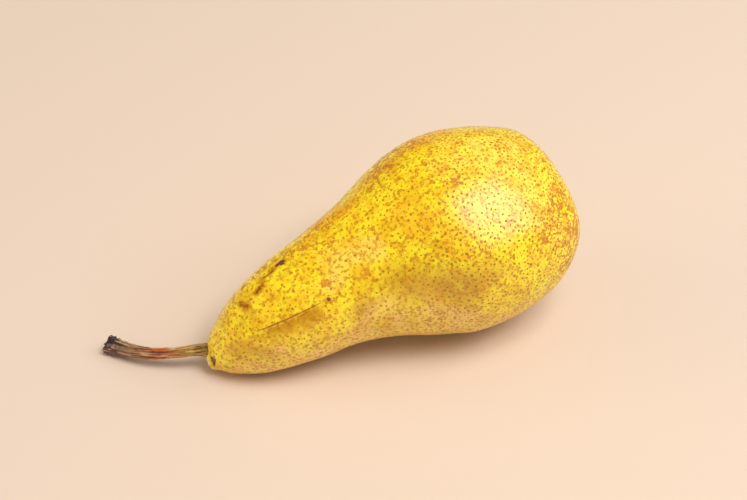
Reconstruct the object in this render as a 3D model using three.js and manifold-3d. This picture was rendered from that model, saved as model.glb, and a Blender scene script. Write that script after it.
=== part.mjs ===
// A ripe long-necked pear lying on its side, with its woody stem and its dried calyx.
// Millimetres, +Z up. X runs along the fruit, from the stem to the calyx, and the origin is the
// centre of the small flat on which the belly rests.

import * as THREE from 'three';
import { mergeVertices } from 'three/addons/utils/BufferGeometryUtils.js';
import Module from 'manifold-3d';

const wasm = await Module();
wasm.setup();

// ---- Driving dimensions ----

const FLESH_LENGTH = 125; // from the blunt stem end to the rim of the calyx basin, along X
const REST_X = 86; // from the stem end to the middle of the belly's resting flat
const REST_DEPTH = 0.15; // how much deeper than the core line says the fruit is pressed flat

// The fruit's core line, every 25 mm from the stem end: the neck droops to the table at one end,
// and the calyx end is lifted by the belly. [x, y, height]
const CORE_LINE = [
  [0, 2, 4.5], [25, -1, 18], [50, -1, 26.5], [75, 0, 31.5], [100, -1, 36.5], [125, 1, 44.5],
];

// Radius of the flesh at each distance from the stem end. The list runs from the dimple under the
// stem, over the neck and the belly, round the rim and down into the calyx basin. [x, radius]
const FLESH_OUTLINE = [
  [0, 0], [-0.5, 3], [1, 4.5], [5, 8.5], [14, 14], [27, 18], [42, 20.5], [56, 24.5], [69, 30],
  [82, 34], [95, 34], [107, 31.5], [116, 26.5], [122, 20.5], [125, 11], [124, 7], [121.5, 4], [121, 0],
];
const FLESH_RINGS = 56;
const FLESH_SIDES = 60;

const BELLY_RADIUS = 34;
const RIB_COUNT = 5; // one soft rib for each sepal, fading out towards the neck
const RIB_HEIGHT = 0.45;
const RIB_START = 70; // where the ribs begin, from the stem end
const SWELLING = 0.35; // broad, low unevenness all over
const SWELLING_REACH = 11; // along the fruit, for one radian of the swelling's wave
const SWELLING_TWIST = 30; // along the fruit, for one radian of its turn round the core

// The stem's core line, from its root inside the neck to its cut end just above the table.
const STEM_LINE = [
  [3, 0.5, 9.4], [-3, 4.6, 8.2], [-10, 7.5, 7], [-17, 11.6, 5.5], [-23, 17, 4.3], [-29, 24.4, 3.4],
];
// [distance along the stem as a share of it, radius]: a thick root, a thin waist, a flared end
// with a shallow hollow where it parted from the twig.
const STEM_OUTLINE = [
  [0, 0], [0, 1.6], [0.02, 2.1], [0.1, 2.25], [0.22, 1.85], [0.4, 1.75], [0.6, 1.9], [0.8, 2.2],
  [0.93, 2.7], [0.985, 2.9], [1, 2.5], [0.99, 1], [0.985, 0],
];
const STEM_RINGS = 34;
const STEM_SIDES = 14;
const STEM_FOOT = 1; // the stretch of the stem, from its root, that rests on its pocket's floor

// The calyx: a low woody cup round the open eye, with five pointed sepals that lean outwards.
const CUP_OUTLINE = [[-1, 0], [-1, 2.6], [0.4, 3.3], [1.6, 3.2], [1.5, 2.4], [0.4, 1.9], [0, 0]];
const CUP_RINGS = 14;
const CUP_SIDES = 20;
const CUP_X = 121.6; // how far along the core line the floor of the eye stands
const POCKET_TOP = 3; // how far above that floor the cup's pocket is cut
const SEPAL_COUNT = 5;
const SEPAL_LENGTH = 5;
const SEPAL_WIDTH = 3.2;
const SEPAL_TIP = 0.3; // width left at the point
const SEPAL_TAPER = 0.6; // the share of its length over which a sepal stays nearly full width
const SEPAL_THICKNESS = 0.7;
const SEPAL_SEGMENTS = 7; // steps along each curved edge
const SEPAL_ROOT = 2.3; // from the calyx's middle to the root of each sepal
const SEPAL_RISE = 0.75; // height of the sepals' roots over the cup's floor
const SEPAL_CURL = 0.085; // how fast a sepal lifts towards its tip, per mm
const SEPAL_CUPPING = 0.12; // how fast it lifts towards its edges, per mm

const GAP = 0.3; // between pieces that touch

// ---- Finishes ----

const skin = new THREE.MeshStandardMaterial({ color: 0xdcc02a, roughness: 0.42, metalness: 0 });
const stemBark = new THREE.MeshStandardMaterial({ color: 0x7d5230, roughness: 0.7, metalness: 0 });
const driedSepal = new THREE.MeshStandardMaterial({ color: 0x4a3524, roughness: 0.85, metalness: 0 });

// ---- Solids ----

const MERGE_DISTANCE = 1e-4;

// A closed geometry as a solid: its shared corners merged and the slivers at its poles dropped.
function toSolid(geometry) {
  const bare = geometry.clone();
  bare.deleteAttribute('normal');
  bare.deleteAttribute('uv');
  const merged = mergeVertices(bare, MERGE_DISTANCE);
  const corners = merged.index.array;
  const kept = [];
  for (let i = 0; i < corners.length; i += 3) {
    const [a, b, c] = corners.slice(i, i + 3);
    if (a !== b && b !== c && c !== a) kept.push(a, b, c);
  }
  return new wasm.Manifold(new wasm.Mesh({
    numProp: 3,
    vertProperties: new Float32Array(merged.attributes.position.array),
    triVerts: new Uint32Array(kept),
  }));
}

function toMesh(name, solid, material) {
  const { vertProperties, triVerts } = solid.getMesh();
  const geometry = new THREE.BufferGeometry();
  geometry.setAttribute('position', new THREE.BufferAttribute(vertProperties, 3));
  geometry.setIndex(new THREE.BufferAttribute(triVerts, 1));
  geometry.computeVertexNormals();
  const mesh = new THREE.Mesh(geometry, material);
  mesh.name = name;
  return mesh;
}

function spline(points) {
  return new THREE.CatmullRomCurve3(points.map((p) => new THREE.Vector3(...p)), false, 'catmullrom', 0.5);
}

// The place on a core line at a share of it, with the directions along, up and sideways there.
// Past either end the line goes on straight.
function frameAt(line, share, length) {
  const inside = THREE.MathUtils.clamp(share, 0, 1);
  const along = line.getTangent(inside);
  const side = new THREE.Vector3(0, 0, 1).cross(along).normalize();
  const up = along.clone().cross(side);
  const place = line.getPoint(inside).addScaledVector(along, (share - inside) * length);
  return { place, along, up, side };
}

// Bends a round solid that was turned about Y onto a core line. Y runs along the line.
function bendOnto(geometry, line, length) {
  const position = geometry.attributes.position;
  for (let i = 0; i < position.count; i += 1) {
    const { place, up, side } = frameAt(line, position.getY(i) / length, length);
    place.addScaledVector(up, position.getX(i)).addScaledVector(side, position.getZ(i));
    position.setXYZ(i, place.x, place.y, place.z);
  }
  return geometry;
}

// A round solid turned from an outline of [along Y, radius] points, smoothed into rings.
function turned(outline, rings, sides) {
  const curve = new THREE.SplineCurve(outline.map(([along, radius]) => new THREE.Vector2(radius, along)));
  const points = curve.getSpacedPoints(rings);
  points.forEach((point) => { point.x = Math.max(point.x, 0); });
  points[0].x = 0;
  points[rings].x = 0;
  return new THREE.LatheGeometry(points, sides);
}

// How far the skin stands off a perfectly round section, for a place along X and round the fruit.
function unevenness(x, angle) {
  const ribs = THREE.MathUtils.smoothstep(x, RIB_START, FLESH_LENGTH) * Math.cos(RIB_COUNT * angle);
  const wave = Math.sin(x / SWELLING_REACH + 2 * Math.sin(angle));
  const swelling = wave * Math.cos(2 * angle + x / SWELLING_TWIST);
  return RIB_HEIGHT * ribs + SWELLING * swelling;
}

const fleshLine = spline(CORE_LINE);
const stemLine = spline(STEM_LINE);
const stemLength = stemLine.getLength();

function makeFlesh() {
  const round = turned(FLESH_OUTLINE, FLESH_RINGS, FLESH_SIDES);
  const position = round.attributes.position;
  for (let i = 0; i < position.count; i += 1) {
    const [across, x, deep] = [position.getX(i), position.getY(i), position.getZ(i)];
    const radius = Math.hypot(across, deep);
    const grown = 1 + unevenness(x, Math.atan2(deep, across)) / BELLY_RADIUS;
    position.setXYZ(i, across * grown, x, deep * grown);
  }
  return toSolid(bendOnto(round, fleshLine, FLESH_LENGTH));
}

// The stem, or the slightly larger pocket that it stands in when grow is the gap between them.
function makeStem(grow) {
  const outline = STEM_OUTLINE.map(([share, radius]) => [share * stemLength, radius]);
  const round = turned(outline, STEM_RINGS, STEM_SIDES);
  const position = round.attributes.position;
  for (let i = 0; i < position.count; i += 1) {
    const [across, y, deep] = [position.getX(i), position.getY(i), position.getZ(i)];
    const radius = Math.hypot(across, deep);
    const wider = radius > 0 ? (radius + grow) / radius : 1;
    position.setXYZ(i, across * wider, y < STEM_FOOT ? y - grow : y, deep * wider);
  }
  return toSolid(bendOnto(round, stemLine, stemLength));
}

// A pointed leaf outline, extruded to its thickness, lifted along its length and leant outwards.
function makeSepal(index) {
  const half = SEPAL_WIDTH / 2;
  const leaf = new THREE.Shape();
  leaf.moveTo(0, -half);
  leaf.quadraticCurveTo(SEPAL_LENGTH * SEPAL_TAPER, -half, SEPAL_LENGTH, -SEPAL_TIP / 2);
  leaf.lineTo(SEPAL_LENGTH, SEPAL_TIP / 2);
  leaf.quadraticCurveTo(SEPAL_LENGTH * SEPAL_TAPER, half, 0, half);
  const settings = { depth: SEPAL_THICKNESS, bevelEnabled: false, curveSegments: SEPAL_SEGMENTS };
  const blade = new THREE.ExtrudeGeometry(leaf, settings);
  const position = blade.attributes.position;
  for (let i = 0; i < position.count; i += 1) {
    const [out, wide, thick] = [position.getX(i), position.getY(i), position.getZ(i)];
    const lift = SEPAL_RISE + SEPAL_CURL * out * out + SEPAL_CUPPING * wide * wide;
    position.setXYZ(i, SEPAL_ROOT + out, wide, lift + thick);
  }
  return toSolid(blade.rotateZ((index * 2 * Math.PI) / SEPAL_COUNT));
}

// Stands a calyx solid, made round its own Z axis, on the core line at the floor of the eye.
function placeCalyx(solid) {
  const { place, along, up, side } = frameAt(fleshLine, CUP_X / FLESH_LENGTH, FLESH_LENGTH);
  const stand = new THREE.Matrix4().makeBasis(side, up, along).setPosition(place);
  return solid.transform(stand.elements);
}

function makeCalyx() {
  let calyx = toSolid(turned(CUP_OUTLINE, CUP_RINGS, CUP_SIDES).rotateX(Math.PI / 2));
  for (let index = 0; index < SEPAL_COUNT; index += 1) calyx = calyx.add(makeSepal(index));
  return placeCalyx(calyx);
}

// The round pocket in the flesh that the cup's foot stands in.
function makeCupPocket() {
  const [[foot], [, footRadius], [rim, rimRadius]] = CUP_OUTLINE;
  const outline = [
    [foot - GAP, 0], [foot - GAP, footRadius + GAP], [rim, rimRadius + GAP],
    [POCKET_TOP, rimRadius + GAP], [POCKET_TOP, 0],
  ];
  const points = outline.map(([along, radius]) => new THREE.Vector2(radius, along));
  return placeCalyx(toSolid(new THREE.LatheGeometry(points, CUP_SIDES).rotateX(Math.PI / 2)));
}

// Everything below the table's level, which presses the belly and the underside of the neck flat.
function makeTable() {
  const depth = 20;
  const block = new THREE.BoxGeometry(2 * FLESH_LENGTH, 2 * FLESH_LENGTH, depth);
  return toSolid(block.translate(FLESH_LENGTH / 2, 0, REST_DEPTH - depth / 2));
}

const flesh = makeFlesh().subtract(makeStem(GAP)).subtract(makeCupPocket()).subtract(makeTable());

const pear = new THREE.Group();
pear.position.set(-REST_X, 0, -REST_DEPTH);
pear.add(toMesh('pear_body', flesh, skin));
pear.add(toMesh('stem', makeStem(0), stemBark));
pear.add(toMesh('calyx', makeCalyx(), driedSepal));

export default pear;
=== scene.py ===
"""A ripe long-necked pear on its side: speckled waxy skin, woody stem and dried calyx."""

import itertools
import math
import random

import bpy
import numpy as np
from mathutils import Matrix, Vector, noise
from mathutils.bvhtree import BVHTree


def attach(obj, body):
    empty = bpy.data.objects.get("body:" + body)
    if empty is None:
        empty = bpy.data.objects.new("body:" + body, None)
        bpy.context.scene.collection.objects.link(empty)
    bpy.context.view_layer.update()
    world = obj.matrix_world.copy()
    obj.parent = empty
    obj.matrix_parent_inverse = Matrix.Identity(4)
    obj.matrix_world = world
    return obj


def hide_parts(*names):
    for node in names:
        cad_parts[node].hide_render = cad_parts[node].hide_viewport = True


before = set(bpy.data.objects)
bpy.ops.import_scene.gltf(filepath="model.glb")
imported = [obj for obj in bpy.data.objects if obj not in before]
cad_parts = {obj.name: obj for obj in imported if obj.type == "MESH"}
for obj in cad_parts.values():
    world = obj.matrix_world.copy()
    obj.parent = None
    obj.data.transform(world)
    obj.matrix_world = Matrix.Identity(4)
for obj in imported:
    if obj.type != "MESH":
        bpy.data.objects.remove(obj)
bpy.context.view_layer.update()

# ---- Flesh and skin ----
# The fruit is one swollen piece of flesh under a thin waxy skin. It grew round a core line that
# droops at the neck, and it is a little uneven, with one soft rib for each sepal of the calyx.
# A straight crease with bruised, flattened flesh below it crosses the neck's near side.

MM = 0.001
REST = np.array([86.0, 0.0, 0.15])  # the middle of the belly's resting flat, from the stem end
FLESH_LENGTH = 125.0
CORE_LINE = [
    (0, 2, 4.5), (25, -1, 18), (50, -1, 26.5), (75, 0, 31.5), (100, -1, 36.5), (125, 1, 44.5),
]
FLESH_OUTLINE = [  # (from the stem end, off the core line)
    (0, 0), (-0.5, 3), (1, 4.5), (5, 8.5), (14, 14), (27, 18), (42, 20.5), (56, 24.5), (69, 30),
    (82, 34), (95, 34), (107, 31.5), (116, 26.5), (122, 20.5), (125, 11), (124, 7), (121.5, 4),
    (121, 0),
]
FLESH_RINGS = 400
FLESH_SIDES = 240
RING_CROWDING = (2.2, 9.0)  # how much closer the rings are at the stem, and how far that reaches
BELLY_RADIUS = 34.0
RIB_COUNT = 5
RIB_HEIGHT = 0.45
RIBS_START = 70.0
SWELLING = 0.35
SWELL_LENGTHS = (11.0, 30.0)  # of its two slow waves along the fruit, in mm for each radian
UNDULATION = [(15.0, 0.18), (5.5, 0.07), (2.4, 0.02)]  # (size, height) of the finer unevenness
SMOOTH_END_RADIUS = 8.0  # the unevenness weakens where the flesh is thinner than this
BASIN_START = (118.0, 123.0)  # from the stem end: where its folds begin and are full
BASIN_EYE = (3.0, 7.0)  # off the core line: the same, outwards from the eye
BASIN_RIM = (9.0, 14.0)  # off the core line: where the folds weaken and are gone
BASIN_FOLDS = 15
BASIN_FOLD_HEIGHT = 0.28
BASIN_FOLD_DRIFT = (3.0, 9.0)  # how far the folds wander, in radians, and over what size
CREASE = [(11.4, -10.7, 24.5), (22.8, -14.6, 30.5), (35.6, -16.5, 36.1)]
CREASE_DOWN = (0.2, -0.61, -0.77)  # from the crease over the bruise below it
CREASE_STEP = (0.17, 1.1)  # its height and its width
CREASE_DEEPENS = (0.0, 0.2)  # between these shares of its length
CREASE_FADES = (0.75, 1.0)
BRUISE_REACH = (6.5, 9.0)  # at the crease's stem end and at its other end
CLEFT_TIP = (-0.1, -2.1, 5.3)  # the fold between the stem's root and the lip under it is a wedge
CLEFT_CORNERS = [(-1.2, 0.3, 8.3), (0.6, -3.5, 10.4)]
CLEFT_DEPTH = 0.6
CLEFT_TIP_WIDTH = 0.1  # as a share of its width at the corners
CLEFT_LEAST_WIDTH = 0.05
CLEFT_WALLS = (0.4, 0.85)  # off its middle, as shares of its half width: full depth, and none
CLEFT_TIP_SLOPE = (-0.1, 0.15)  # from its tip, as shares of its length: no depth, and full
CLEFT_ROOT_SLOPE = (0.9, 1.15)  # the same at the stem's root: full depth, and none
CLEFT_LIMIT = 8.0  # from its tip: further off, the same wedge meets the flesh again
LIP = [(-1.2, 0.4, 8.0), (-1.2, -0.6, 6.0), (-0.4, -1.3, 4.2)]
LIP_WIDTH = 0.65
LIP_HEIGHT = 0.3
LIP_ROUNDING = (0.5, 1.0)  # shares of its width over which it falls to the skin


def curve_through(points, count, straight_ends):
    """Places on a smooth curve through the points, and its direction at each, from end to end."""
    points = np.array(points, float)
    if straight_ends:
        ends = 2 * points[0] - points[1], 2 * points[-1] - points[-2]
    else:
        ends = points[0], points[-1]
    points = np.vstack([ends[0], points, ends[1]])
    spot = np.linspace(0, len(points) - 3, count)
    start = np.minimum(spot.astype(int), len(points) - 4)
    t = (spot - start)[:, None]
    before, a, b, after = (points[start + k] for k in range(4))
    slope_a, slope_b = (b - before) / 2, (after - a) / 2
    bend, twist = 3 * (b - a) - 2 * slope_a - slope_b, 2 * (a - b) + slope_a + slope_b
    place = a + t * (slope_a + t * (bend + t * twist))
    along = slope_a + t * (2 * bend + 3 * t * twist)
    return place, along / np.linalg.norm(along, axis=1)[:, None]


def lines_across(line, share, length):
    """Place, up, side and along directions at shares of a core line, straight past its ends."""
    steps = 4001
    place, along = curve_through(line, steps, True)
    inside = np.clip(share, 0, 1)
    index = inside * (steps - 1)

    def at(values):
        return np.stack([np.interp(index, np.arange(steps), values[:, k]) for k in range(3)], 1)

    place, along = at(place), at(along)
    place = place + along * ((share - inside) * length)[:, None]
    side = np.cross([0, 0, 1], along)
    side /= np.linalg.norm(side, axis=1)[:, None]
    return place, np.cross(along, side), side, along


def angles_round(count):
    """That many angles, evenly spread over a full turn."""
    return np.arange(count) * 2 * math.pi / count


def directions_round(angles, first, second):
    """Directions at the angles, turning from the first direction of each row to its second."""
    angles = angles[..., None]
    return np.cos(angles) * first[:, None] + np.sin(angles) * second[:, None]


def rings_of(outline, rings, crowding):
    """An outline's places for the rings, closer together where crowding, by distance, is high."""
    steps = 6000
    curve, _ = curve_through(outline, steps, False)
    run = np.r_[0, np.cumsum(np.linalg.norm(np.diff(curve, axis=0), axis=1))]
    share = np.r_[0, np.cumsum(crowding((run[1:] + run[:-1]) / 2) * np.diff(run))]
    wanted = np.interp(np.linspace(0, share[-1], rings), share, run)
    return np.stack([np.interp(wanted, run, curve[:, k]) for k in range(2)], 1)


def turned_faces(rings, sides):
    """Faces of a turned grid whose first and last rings are single points at its poles."""
    faces = [(0, 1 + (j + 1) % sides, 1 + j) for j in range(sides)]
    for i in range(rings - 3):
        low, high = 1 + i * sides, 1 + (i + 1) * sides
        for j in range(sides):
            beside = (j + 1) % sides
            faces.append((low + j, low + beside, high + beside, high + j))
    low, tip = 1 + (rings - 3) * sides, 1 + (rings - 2) * sides
    faces += [(low + j, low + (j + 1) % sides, tip) for j in range(sides)]
    return faces


def poles_and_rings(grid):
    """A grid of rings as one list, with each end ring as the single point that it is."""
    return np.concatenate([grid[0, :1], grid[1:-1].reshape(-1, *grid.shape[2:]), grid[-1, :1]])


def normals_of(grid):
    """Outward directions all over a turned grid, from the differences between its neighbours."""
    around = np.roll(grid, -1, 1) - np.roll(grid, 1, 1)
    normal = np.cross(np.gradient(grid, axis=0), around)
    return normal / np.maximum(np.linalg.norm(normal, axis=2, keepdims=True), 1e-9)


def smoothstep(low, high, value):
    """0 up to low and 1 from high on, with a smooth rise between them."""
    t = np.clip((value - low) / (high - low), 0, 1)
    return t * t * (3 - 2 * t)


def noise_at(points, size):
    """Smooth noise from -1 to 1 at each point, with lumps of that size in mm."""
    flat = [noise.noise(Vector(p)) for p in points.reshape(-1, 3) / size]
    return np.array(flat).reshape(points.shape[:-1])


def off_line(points, line):
    """How far along a line of points each place lies, as a share, its offset and its distance."""
    line = np.array(line, float)
    offset = points - line[0]
    share, best = np.zeros(offset.shape[:-1]), np.linalg.norm(offset, axis=-1)
    for k, (a, b) in enumerate(zip(line[:-1], line[1:])):
        t = np.clip((points - a) @ (b - a) / ((b - a) @ (b - a)), 0, 1)
        gap = points - a - t[..., None] * (b - a)
        distance = np.linalg.norm(gap, axis=-1)
        nearer = distance < best
        best = np.where(nearer, distance, best)
        share = np.where(nearer, (t + k) / (len(line) - 1), share)
        offset = np.where(nearer[..., None], gap, offset)
    return share, offset, best


def add_mesh(name, points, faces):
    """A smooth-shaded object from points in mm, measured from the stem end of the fruit."""
    mesh = bpy.data.meshes.new(name)
    mesh.from_pydata(((np.asarray(points) - REST) * MM).tolist(), [], faces)
    mesh.polygons.foreach_set("use_smooth", [True] * len(mesh.polygons))
    mesh.validate()
    piece = bpy.data.objects.new(name, mesh)
    bpy.context.scene.collection.objects.link(piece)
    return piece


def add_values(piece, name, values):
    """A number, or a place in mm, for each point of a mesh, which its material can read."""
    kind, field = ("FLOAT_VECTOR", "vector") if np.ndim(values) == 2 else ("FLOAT", "value")
    data = piece.data.attributes.new(name, kind, "POINT").data
    data.foreach_set(field, np.asarray(values, np.float32).ravel())


def linear(colour):
    """An sRGB hex colour as the linear values that a shader takes."""
    parts = [int(colour[k:k + 2], 16) / 255 for k in (1, 3, 5)]
    return [p / 12.92 if p <= 0.04045 else ((p + 0.055) / 1.055) ** 2.4 for p in parts] + [1.0]


def add_node(tree, kind, inputs=(), **settings):
    """One node with its settings; inputs gives a socket a value or a link from another node."""
    new = tree.nodes.new("ShaderNode" + kind)
    for name, value in settings.items():
        setattr(new, name, value)
    for socket, value in dict(inputs).items():
        if isinstance(value, bpy.types.NodeSocket):
            tree.links.new(value, new.inputs[socket])
        else:
            new.inputs[socket].default_value = value
    return new


def new_material(name):
    """A material with a principled surface, and its node tree."""
    material = bpy.data.materials.new(name)
    material.use_nodes = True
    return material, material.node_tree, material.node_tree.nodes["Principled BSDF"]


def millimetres(tree):
    """The place on the piece in mm, for a pattern whose scale is one over a real size in mm."""
    inputs = {0: add_node(tree, "TexCoord").outputs["Object"], "Scale": 1 / MM}
    return add_node(tree, "VectorMath", inputs, operation="SCALE").outputs["Vector"]


def near_lines(points, marks):
    """The strength of soft marks, each (its line of points, radius, strength), at each place."""
    total = np.zeros(points.shape[:-1])
    for line, radius, strength in marks:
        total += strength * np.exp(-(off_line(points, line)[2] / radius) ** 2)
    return total


crowding, crowding_reach = RING_CROWDING
flesh_rings = rings_of(
    FLESH_OUTLINE, FLESH_RINGS, lambda run: 1 + crowding * np.exp(-(run / crowding_reach) ** 2)
)
along_x, radius = flesh_rings[:, 0], np.maximum(flesh_rings[:, 1], 0)
core, up, side, _ = lines_across(CORE_LINE, along_x / FLESH_LENGTH, FLESH_LENGTH)
x_grid, angle_grid = np.meshgrid(along_x, angles_round(FLESH_SIDES), indexing="ij")
ribs = RIB_HEIGHT * smoothstep(RIBS_START, FLESH_LENGTH, x_grid) * np.cos(RIB_COUNT * angle_grid)
swell = SWELLING * np.sin(x_grid / SWELL_LENGTHS[0] + 2 * np.sin(angle_grid))
swell = swell * np.cos(2 * angle_grid + x_grid / SWELL_LENGTHS[1])
girth = radius[:, None] * (1 + (ribs + swell) / BELLY_RADIUS)
outward = directions_round(angle_grid, up, side)
flesh_grid = core[:, None] + girth[..., None] * outward
flesh_normals = normals_of(flesh_grid)
fade = np.minimum(radius / SMOOTH_END_RADIUS, 1)[:, None]
lift = sum(height * noise_at(flesh_grid, size) for size, height in UNDULATION) * fade

in_basin = smoothstep(*BASIN_START, x_grid) * smoothstep(*BASIN_EYE, girth)
in_basin = in_basin * (1 - smoothstep(*BASIN_RIM, girth))
drift, drift_size = BASIN_FOLD_DRIFT
fold_angle = BASIN_FOLDS * angle_grid + drift * noise_at(flesh_grid, drift_size)
lift += BASIN_FOLD_HEIGHT * in_basin * (1 - 2 * np.abs(np.sin(fold_angle / 2)))

step_height, step_width = CREASE_STEP
crease_share, crease_gap, crease_distance = off_line(flesh_grid, CREASE)
below_crease = crease_gap @ np.array(CREASE_DOWN)
bruise_reach = np.interp(crease_share, (0, 1), BRUISE_REACH)
bruise = smoothstep(*CREASE_DEEPENS, crease_share) * (1 - smoothstep(*CREASE_FADES, crease_share))
bruise = bruise * smoothstep(0, step_width, below_crease)
bruise = bruise * np.exp(-(crease_distance / bruise_reach) ** 2)
lift -= step_height * bruise

cleft_left, cleft_right = (np.array(corner) for corner in CLEFT_CORNERS)
cleft_axis = (cleft_left + cleft_right) / 2 - CLEFT_TIP
cleft_across = (cleft_right - cleft_left) / 2
off_tip = flesh_grid - CLEFT_TIP
cleft_share = off_tip @ cleft_axis / (cleft_axis @ cleft_axis)
cleft_sideways = np.abs((off_tip - cleft_share[..., None] * cleft_axis) @ cleft_across)
cleft_width = np.maximum((1 - CLEFT_TIP_WIDTH) * cleft_share + CLEFT_TIP_WIDTH, CLEFT_LEAST_WIDTH)
cleft_sideways /= (cleft_across @ cleft_across) * cleft_width
cleft = (1 - smoothstep(*CLEFT_WALLS, cleft_sideways)) * smoothstep(*CLEFT_TIP_SLOPE, cleft_share)
cleft *= 1 - smoothstep(*CLEFT_ROOT_SLOPE, cleft_share)
cleft *= np.linalg.norm(off_tip, axis=2) < CLEFT_LIMIT
lift -= CLEFT_DEPTH * cleft
lip = 1 - smoothstep(*LIP_ROUNDING, off_line(flesh_grid, LIP)[2] / LIP_WIDTH)
lip *= 1 - cleft
lift += LIP_HEIGHT * lip
flesh_grid = flesh_grid + flesh_normals * lift[..., None]
flesh_grid[..., 2] = np.maximum(flesh_grid[..., 2], REST[2])
flesh_normals = normals_of(flesh_grid)

flesh_points, flesh_faces = poles_and_rings(flesh_grid), turned_faces(FLESH_RINGS, FLESH_SIDES)
flesh = add_mesh("pear_flesh", flesh_points, flesh_faces)

# The places where the skin differs from its yellow ground. Each row of a list is a soft patch:
# (its line of points on the skin, how far it reaches from that line, its strength).
RUSSET_PATCHES = [  # dry cork, thickest near the calyx and along the crest
    ([(109, -28, 51.6), (116, -24, 51.5), (121, -24, 42)], 7.0, 0.8),
    ([(105, -31, 49), (111.5, -30, 45), (114, -30, 34)], 5.0, 0.8),
    ([(113.6, -21.8, 55.8), (117, -10, 59)], 5.0, 0.6),
    ([(120, -24, 33), (115, -30, 30)], 5.0, 0.6),
    ([(79, 13.3, 63.8), (72.5, 12.6, 61.7), (64, 10, 58.5)], 6.0, 0.5),
    ([(84, 17, 62.5), (75, 18.5, 59.5), (66, 17, 55.5)], 4.0, 0.8),
    ([(64.6, 9.2, 58.7), (53.5, 6.5, 52.5), (45, 5, 48)], 5.0, 0.55),
    ([(14, 5, 29.5), (20, 7, 33.5), (32, 7, 41.5), (45, 8, 48)], 3.0, 0.9),
    ([(28, 3, 40), (36, 2, 43.5), (44, -2, 47)], 1.8, 0.8),
    ([(83.4, -4.9, 67.5), (83.2, -12.2, 65.6), (79.6, -9, 65.8)], 2.4, 0.8),
    ([(79.1, -1.1, 66.9), (74, 0, 65), (66, -3, 61)], 2.4, 0.7),
    ([(85.9, -30, 51.8), (79, -30, 50)], 2.4, 0.75),
    ([(66.6, -27.8, 24.7)], 3.0, 0.5),
    ([(31, -18.6, 29.2)], 3.2, 0.6),
    ([(95, 28, 50), (88, 30, 44), (80, 30, 40)], 4.5, 0.8),
    ([(60, 22, 38), (52, 20, 36)], 3.5, 0.7),
    ([(100, 22, 20), (92, 24, 15)], 4.0, 0.7),
    ([(30, 14, 27)], 2.5, 0.8),
]
STAINS = [  # dark spots where the skin was pressed or pricked
    ([(16.2, -1.8, 32.8), (18.2, -1.0, 34.3)], 1.8, 1.15),
    ([(11.0, -0.3, 28.8), (12.0, -3.2, 29.5)], 1.8, 1.15),
    ([(12.5, -12.2, 23.8), (14.5, -13.0, 23.6)], 2.0, 0.5),
    ([(19.0, 1.8, 34.5), (22.9, 1.2, 37.0)], 1.3, 0.75),
    ([(23.6, 3.0, 37.1), (28.4, 2.4, 39.5)], 2.0, 0.8),
    ([(35.6, -16.6, 35.7)], 1.5, 0.75),
    ([(29.0, -18.0, 29.6), (32.4, -18.8, 30.0)], 2.0, 0.45),
    ([(6.5, -10.1, 14.5)], 1.5, 0.6),
    ([(12.4, -14.2, 15.9)], 1.2, 0.6),
    ([(29.9, -19.7, 19.2), (28.7, -19.5, 23.2)], 1.2, 0.55),
    ([(46, 21, 30)], 0.9, 1.0),
    ([(84, -20, 4), (86, -22, 6)], 1.2, 0.6),
]
FLAKES = [  # smooth tan flakes of thin cork
    ([(35.3, -12.8, 39.6), (36.7, -13.4, 39.5)], 1.45, 1.2),
    ([(48.2, -16.6, 43.6), (49.2, -17.1, 43.5)], 1.3, 1.1),
    ([(42.9, -3.6, 47.4), (44.2, -4.2, 47.8)], 1.0, 1.1),
    ([(38.4, -4.3, 44.7)], 1.1, 1.1),
    ([(66.6, -27.8, 25.6), (66.2, -27.6, 23.6)], 1.7, 0.9),
    ([(88.5, -31.5, 47.5), (90.5, -31.5, 48.5)], 1.1, 1.0),
    ([(58, 20, 40), (60, 21, 41)], 1.4, 1.1),
    ([(80, 12, 4), (82, 13, 5)], 1.5, 1.0),
]
PAINTED_BOUNCE_PATCHES = [  # painted bounce light: a creamy tint low on the near side
    ([(50.6, -23.5, 31), (58, -26, 30), (68, -29.5, 28), (79, -32.5, 26)], 8.5, 0.75),
    ([(9, -11, 11), (20, -17, 18), (34, -20, 19), (44, -21.5, 22)], 6.0, 0.65),
]
PAINTED_SHEEN_PATCHES = [  # painted highlight: a pale tint on the neck's crest, where it faces the light
    ([(39, -14, 41), (44, -11.5, 45), (54, -12, 49)], 5.0, 0.85),
    ([(38, -6, 44), (50, -4, 51)], 4.0, 0.35),
]
BLUSH_PATCHES = [  # the warm tint of the parts that faced the sun
    ([(80, 12, 64), (72.5, 13, 61.5), (64.6, 10, 58.5), (53.5, 8, 52.5), (42, 8, 46)], 7.0, 0.7),
    ([(40, 20, 30), (70, 30, 35), (95, 32, 40)], 14.0, 0.65),
    ([(3, -1, 12), (18, -8, 22), (34, -10, 32)], 20.0, 0.5),
    ([(63, -10, 58), (73, -19, 59), (76.5, -27, 52)], 7.0, 0.65),
    ([(112, -28, 50), (117, -24, 44)], 6.0, 0.5),
    ([(88, 18, 63), (100, 14, 66), (112, 8, 63)], 8.0, 0.5),
]
OCHRE_AND_SHADE_PATCHES = [  # the ripest flesh, about to go soft and brown; the first two rows are painted shade below the lit top
    ([(58, -23.5, 41), (66, -27, 40), (74, -30, 39)], 9.0, 0.95),
    ([(82, -32.5, 41), (89, -33.5, 44)], 6.5, 0.6),
    ([(5, -9, 17), (10, -12.5, 19), (16, -15.5, 18)], 4.5, 0.85),
    ([(45, -21.5, 32)], 4.5, 0.85),
    ([(25, -3, 38), (32, -1, 41.5)], 2.5, 0.6),
    ([(34, -20, 20), (58, -25, 22)], 7.0, 0.5),
    ([(95, 30, 40)], 9.0, 0.6),
]
GREEN_PATCHES = [  # the last green, by the stem and on the far side of the calyx
    ([(6, 2, 22), (10, -3, 26)], 6.0, 0.6),
    ([(8, 10, 15)], 7.0, 0.7),
    ([(118, 6, 26)], 9.0, 0.5),
]
STEM_JOINT_RUSSET = [([(-1, 1, 8.5)], 3.6, 0.3)]
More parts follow.
